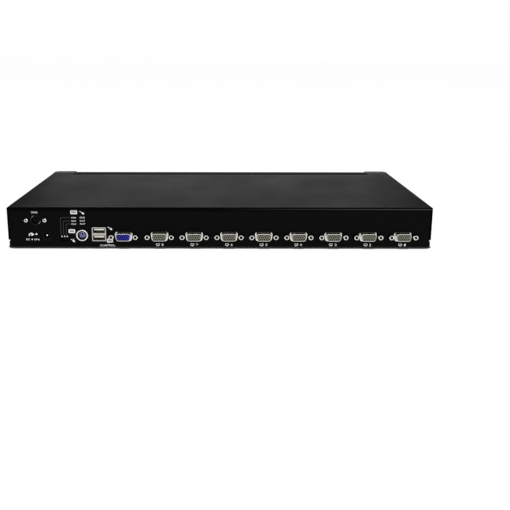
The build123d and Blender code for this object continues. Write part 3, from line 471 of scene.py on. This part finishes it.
# ---- printed marks ------------------------------------------------------------------------------
class Print:
    """Marks in one ink on a flat face. They are drawn in millimetres, u to the right and v up."""

    def __init__(self, origin, right, facing):
        self.mesh = bmesh.new()
        self.origin = Vector(origin)
        self.right = Vector(right)
        self.facing = Vector(facing)
        self.up = Vector((0.0, 0.0, 1.0))

    def point(self, u, v, lift):
        return self.origin + self.right * u * MM + self.up * v * MM + self.facing * lift

    def tile(self, outline):
        """Thin closed prism over a convex outline."""
        top = [self.mesh.verts.new(self.point(u, v, INK)) for u, v in outline]
        bottom = [self.mesh.verts.new(self.point(u, v, 0.0)) for u, v in outline]
        self.mesh.faces.new(top)
        self.mesh.faces.new(reversed(bottom))
        for i in range(len(outline)):
            j = (i + 1) % len(outline)
            self.mesh.faces.new((top[j], top[i], bottom[i], bottom[j]))

    def line(self, points, width, closed=False):
        """Ribbon along points with mitred corners, as a closed prism."""
        count = len(points)
        sides = []
        for i, here in enumerate(points):
            before = points[i - 1] if i or closed else here
            after = points[(i + 1) % count] if i < count - 1 or closed else here
            along = [Vector(b) - Vector(a) for a, b in ((before, here), (here, after)) if a != b]
            normals = [Vector((-d.y, d.x)).normalized() for d in along]
            mitre = sum(normals, Vector((0.0, 0.0))).normalized()
            reach = width / 2 / max(mitre.dot(normals[0]), MITRE_LIMIT)
            sides.append((Vector(here) + mitre * reach, Vector(here) - mitre * reach))
        rings = []
        for left, right in sides:
            corners = ((left, INK), (right, INK), (right, 0.0), (left, 0.0))
            rings.append([self.mesh.verts.new(self.point(p.x, p.y, lift)) for p, lift in corners])
        for i in range(count if closed else count - 1):
            a, b = rings[i], rings[(i + 1) % count]
            for k in range(4):
                n = (k + 1) % 4
                self.mesh.faces.new((a[k], a[n], b[n], b[k]))
        if not closed:
            self.mesh.faces.new(rings[0])
            self.mesh.faces.new(reversed(rings[-1]))

    def bar(self, u, v, width, height):
        """Rectangle about a centre."""
        x = width / 2
        y = height / 2
        self.tile([(u - x, v - y), (u + x, v - y), (u + x, v + y), (u - x, v + y)])

    def disc(self, u, v, radius):
        self.tile(arc(u, v, radius, 0, 345, 24))

    def word(self, text, u, v, width, height):
        """Lettering in the program's own plain font, stretched to a width and height about a centre."""
        curve = bpy.data.curves.new("word", "FONT")
        curve.body = text
        curve.resolution_u = 3
        curve.offset = 0.012
        carrier = bpy.data.objects.new("word", curve)
        flat = bpy.data.meshes.new_from_object(carrier)
        low = [min(p.co[axis] for p in flat.vertices) for axis in (X, Y)]
        high = [max(p.co[axis] for p in flat.vertices) for axis in (X, Y)]
        scale = (width / (high[X] - low[X]), height / (high[Y] - low[Y]))
        letters = bmesh.new()
        letters.from_mesh(flat)
        bmesh.ops.remove_doubles(letters, verts=letters.verts, dist=1e-5)
        raised = bmesh.ops.extrude_face_region(letters, geom=letters.faces[:])
        upper = {item for item in raised["geom"] if isinstance(item, bmesh.types.BMVert)}
        for vertex in letters.verts:
            across = u - width / 2 + (vertex.co.x - low[X]) * scale[X]
            along = v - height / 2 + (vertex.co.y - low[Y]) * scale[Y]
            vertex.co = self.point(across, along, INK if vertex in upper else 0.0)
        letters.to_mesh(flat)
        letters.free()
        self.mesh.from_mesh(flat)
        bpy.data.objects.remove(carrier)
        bpy.data.curves.remove(curve)
        bpy.data.meshes.remove(flat)

    def finish(self, name, material, slot, body=BODY):
        """Make the marks one piece that rides on a body."""
        bmesh.ops.recalc_face_normals(self.mesh, faces=self.mesh.faces[:])
        data = bpy.data.meshes.new(name)
        self.mesh.to_mesh(data)
        self.mesh.free()
        data.materials.append(material)
        piece = bpy.data.objects.new(name, data)
        bpy.context.scene.collection.objects.link(piece)
        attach(piece, body)


def arc(u, v, radius, start, end, count):
    """Points on a circle from one angle to another, in degrees."""
    steps = [radians(start + (end - start) * i / (count - 1)) for i in range(count)]
    return [(u + radius * cos(a), v + radius * sin(a)) for a in steps]


def rounded(u, v, width, height, radius):
    """Outline of a rectangle with rounded corners."""
    x = width / 2 - radius
    y = height / 2 - radius
    corners = ((x, y, 0), (-x, y, 90), (-x, -y, 180), (x, -y, 270))
    return [p for dx, dy, turn in corners for p in arc(u + dx, v + dy, radius, turn, turn + 90, 5)]


def rear_print():
    """Sheet on the connector panel, with u and v measured as x and z."""
    return Print((0.0, PANEL_Y, 0.0), (1.0, 0.0, 0.0), (0.0, -1.0, 0.0))


def keyboard_sign(sheet, u, v, width):
    """Keyboard: a frame round three rows of keys."""
    height = 4.0
    border = 0.9
    key_pitch = 1.0
    row_pitch = 0.72
    sheet.line(rounded(u, v, width - border, height - border, 0.3), border, closed=True)
    for row in (-1, 0, 1):
        for key in (-2, -1, 0, 1, 2):
            sheet.bar(u + key * key_pitch, v + row * row_pitch, 0.62, 0.4)


def mouse_sign(sheet, u, v, size=1.0, forked=False):
    """Mouse: a fat body with a tail that runs up to the left, which may be forked."""
    half_length = 1.65
    half_width = 1.15
    centre = Vector((u + 1.3 * size, v - 0.95 * size))
    turn = Matrix.Rotation(radians(-38), 2)
    circle = arc(0, 0, 1.0, 0, 345, 24)
    sheet.tile([centre + turn @ Vector((x * half_length, y * half_width)) * size for x, y in circle])
    tail = [(u - 3.0 * size, v + 1.9 * size), (u - 1.9 * size, v + 1.2 * size), (u, v)]
    sheet.line(tail, 0.7 * size)
    if forked:
        sheet.line([(u + 1.2 * size, v + 2.2 * size), (u - 0.2 * size, v + 0.5 * size)], 0.6 * size)


def screen_sign(sheet, u, v):
    """Computer: a screen on a foot."""
    sheet.line(rounded(u, v + 0.35, 3.3, 1.6, 0.2), 0.4, closed=True)
    sheet.bar(u, v - 1.1, 2.0, 0.4)


def port_legends(white):
    """A screen and a number under each computer port."""
    sheet = rear_print()
    height = 3.3
    for number, node in enumerate(PORT_NODES, start=1):
        x = middle(node).x / MM
        screen_sign(sheet, x - 2.0, height)
        sheet.word(str(number), x + 2.9, height, 1.9, 2.5)
    sheet.finish("port_numbers", white, "white_print")


def console_legends(white):
    """Signs beside the keyboard socket and the two flat sockets, and the word below them."""
    sheet = rear_print()
    keyboard_x = middle("keyboard_port_shell").x / MM
    bus_x = middle("double_bus_shell").x / MM
    keyboard_sign(sheet, keyboard_x - 10.6, 18.0, 6.7)
    mouse_sign(sheet, keyboard_x - 9.9, 7.9, 0.75, forked=True)
    mouse_sign(sheet, bus_x + 11.5, 21.1, 0.8)
    keyboard_sign(sheet, bus_x + 10.9, 7.8, 6.3)
    sheet.word("CONTROL", bus_x + 8.4, 2.5, 15.6, 2.2)
    sheet.finish("console_marks", white, "white_print")


# For each position of the mode switch: height of its row, socket of the keyboard, socket of the mouse.
MODE_ROWS = ((32.9, "ROUND", "ROUND"), (29.4, "ROUND", "FLAT"), (26.1, "FLAT", "FLAT"))
POSITIONS = (-1, 0, 1)


def mode_legends(white, grey):
    """Table that says which socket the keyboard and the mouse use, and lines down to the switch."""
    sheet = rear_print()
    keyboard_column = -150.6
    mouse_column = -141.7
    keyboard_sign(sheet, keyboard_column - 0.4, 38.4, 6.9)
    mouse_sign(sheet, mouse_column - 0.8, 38.0, 0.8)
    for z, keyboard_word, mouse_word in MODE_ROWS:
        sheet.word(keyboard_word, keyboard_column - 0.6, z - 0.4, 4.8, 1.5)
        sheet.word(mouse_word, mouse_column - 0.6, z - 0.2, 5.2, 1.6)
    switch_x = middle("mode_switch_body").x / MM
    for position in POSITIONS:
        sheet.disc(switch_x - 0.2 + position * 2.7, 12.3, 0.62)
    sheet.finish("mode_marks", white, "white_print")
    lines = rear_print()
    bend_radius = 1.6
    for position, (z, _, _) in zip(POSITIONS, MODE_ROWS):
        x = switch_x - 1.05 + position * 2.8
        bend = arc(x + bend_radius, z - 1.9, bend_radius, 180, 90, 6)
        lines.line([(x, 13.6), *bend, (keyboard_column - 3.9, z - 0.3)], 0.55)
    lines.finish("mode_lines", grey, "grey_print")


def power_legends(white):
    """Polarity of the barrel plug, the words beside it, and the chain socket's name."""
    sheet = rear_print()
    power_x = middle("power_jack_body").x / MM
    sign_x = power_x - 16.0
    sheet.line(arc(sign_x, 13.4, 2.3, 200, 10, 14), 0.95)
    sheet.disc(sign_x + 0.6, 13.9, 0.95)
    sheet.disc(sign_x + 5.2, 14.8, 0.95)
    sheet.word("DC", power_x - 19.7, 9.0, 3.9, 1.9)
    sheet.disc(power_x - 15.6, 9.0, 0.7)
    sheet.word("IN", power_x - 10.6, 9.0, 5.0, 1.8)
    sheet.word("CHAIN", middle("link_port_housing").x / MM - 0.9, 38.2, 6.4, 2.0)
    sheet.finish("power_marks", white, "white_print")


def front_legends(white):
    """Numbers over the buttons and thin frames round the display and the row of buttons."""
    film_depth = 0.4 * MM
    sheet = Print((0.0, BEZEL_Y - film_depth, 0.0), (-1.0, 0.0, 0.0), (0.0, 1.0, 0.0))
    for number, node in enumerate(BUTTON_NODES, start=1):
        sheet.word(str(number), -middle(node).x / MM, 23.4, 1.5, 2.4)
    display_x = -middle("display_window").x / MM
    first = -middle(BUTTON_NODES[0]).x / MM
    last = -middle(BUTTON_NODES[-1]).x / MM
    for centre, width in ((display_x, 18.5), ((first + last) / 2, last - first + 20.0)):
        sheet.line(rounded(centre, 22.0, width, 24.5, 2.0), 0.35, closed=True)
    sheet.finish("front_marks", white, "white_print")


# ---- floor, light and camera --------------------------------------------------------------------
def pale_floor():
    """White floor that glows, so that its shadow stays faint, with its glow dimmed near the part as a
    painted contact shadow. Seen from below it hides nothing.
    """
    mesh = bpy.data.meshes.new("floor")
    reach = 12.0
    level = -0.05 * MM
    signs = ((-1, -1), (1, -1), (1, 1), (-1, 1))
    mesh.from_pydata([(x * reach, y * reach, level) for x, y in signs], [], [(0, 1, 2, 3)])
    floor = bpy.data.objects.new("floor", mesh)
    bpy.context.scene.collection.objects.link(floor)
    look = Look("floor", roughness=0.9, specular=0.1, Emission_Color=(1.0, 1.0, 1.0, 1.0))
    glow = 0.97
    # Painted contact shadow: the glow dims close to the part.
    contact = look.cavity(9 * MM, 0.62, 0.75, samples=32)
    look.link(look.math("MULTIPLY", contact, glow), look.shader.inputs["Emission Strength"])
    drift = look.noise(0.8)
    look.colour(look.blend(look.spread(drift, 0.0, 1.0), (0.12, 0.12, 0.12), (0.15, 0.15, 0.15)))
    one_sided = look.node("ShaderNodeMixShader")
    look.link(look.node("ShaderNodeNewGeometry").outputs["Backfacing"], one_sided.inputs["Fac"])
    look.link(look.shader.outputs["BSDF"], one_sided.inputs[1])
    look.link(look.node("ShaderNodeBsdfTransparent").outputs["BSDF"], one_sided.inputs[2])
    look.link(one_sided.outputs["Shader"], look.tree.nodes["Material Output"].inputs["Surface"])
    mesh.materials.append(look.material)


def softbox(name, place, target, size, radiance):
    """Rectangular light that looks equally bright from everywhere in front of it."""
    data = bpy.data.lights.new(name, "AREA")
    data.shape = "RECTANGLE"
    data.size, data.size_y = size
    data.energy = radiance * pi * size[0] * size[1]
    light = bpy.data.objects.new(name, data)
    light.location = place
    light.rotation_euler = (Vector(target) - Vector(place)).to_track_quat("-Z", "Y").to_euler()
    light.visible_camera = False
    bpy.context.scene.collection.objects.link(light)


def studio_light():
    """Three softboxes round the part, and a white surround that lights it faintly."""
    softbox("back_softbox", (0.0, 1.7, 0.60), (0.0, 0.0, 0.04), (1.6, 0.7), 1.6)
    softbox("front_softbox", (0.2, -1.3, 1.1), (0.0, 0.0, 0.0), (1.6, 0.8), 4.0)
    softbox("side_glow", (0.9, -0.8, 0.35), (0.15, -0.085, 0.02), (0.5, 0.4), 2.0)
    world = bpy.data.worlds.new("studio")
    bpy.context.scene.world = world
    world.use_nodes = True
    tree = world.node_tree
    background = tree.nodes["Background"]
    lighting = tree.nodes.new("ShaderNodeBackground")
    lighting.inputs["Color"].default_value = (1.0, 1.0, 1.0, 1.0)
    lighting.inputs["Strength"].default_value = 0.10
    background.inputs["Color"].default_value = (1.0, 1.0, 1.0, 1.0)
    seen = tree.nodes.new("ShaderNodeLightPath").outputs["Is Camera Ray"]
    mix = tree.nodes.new("ShaderNodeMixShader")
    tree.links.new(seen, mix.inputs["Fac"])
    tree.links.new(lighting.outputs["Background"], mix.inputs[1])
    tree.links.new(background.outputs["Background"], mix.inputs[2])
    tree.links.new(mix.outputs["Shader"], tree.nodes["World Output"].inputs["Surface"])


def camera():
    """Level with the middle of the connector panel, a little to its right, and looking down on the lid."""
    image_side = 510.0
    focal_pixels = 559.7
    data = bpy.data.cameras.new("camera")
    data.sensor_width = 36.0
    data.lens = focal_pixels / image_side * data.sensor_width
    data.shift_x = 0.0627
    data.shift_y = -0.2059
    data.clip_end = 50.0
    eye = bpy.data.objects.new("camera", data)
    pitch = radians(10.27)
    roll = radians(0.07)
    place = Matrix.Translation((3.3 * MM, COVER_REAR_Y - 556.4 * MM, TOP_Z + 161.0 * MM))
    eye.matrix_world = place @ Matrix.Rotation(pi / 2 - pitch, 4, "X") @ Matrix.Rotation(roll, 4, "Z")
    bpy.context.scene.collection.objects.link(eye)
    bpy.context.scene.camera = eye


def main():
    bpy.context.scene.view_settings.view_transform = "Standard"
    camera()
    studio_light()
    pale_floor()
    materials = make_materials()
    dress_cad_nodes(materials)
    white = ink("white_ink", (0.95, 0.95, 0.95))
    grey = ink("grey_ink", (0.035, 0.036, 0.037))
    port_legends(white)
    console_legends(white)
    mode_legends(white, grey)
    power_legends(white)
    front_legends(white)


main()
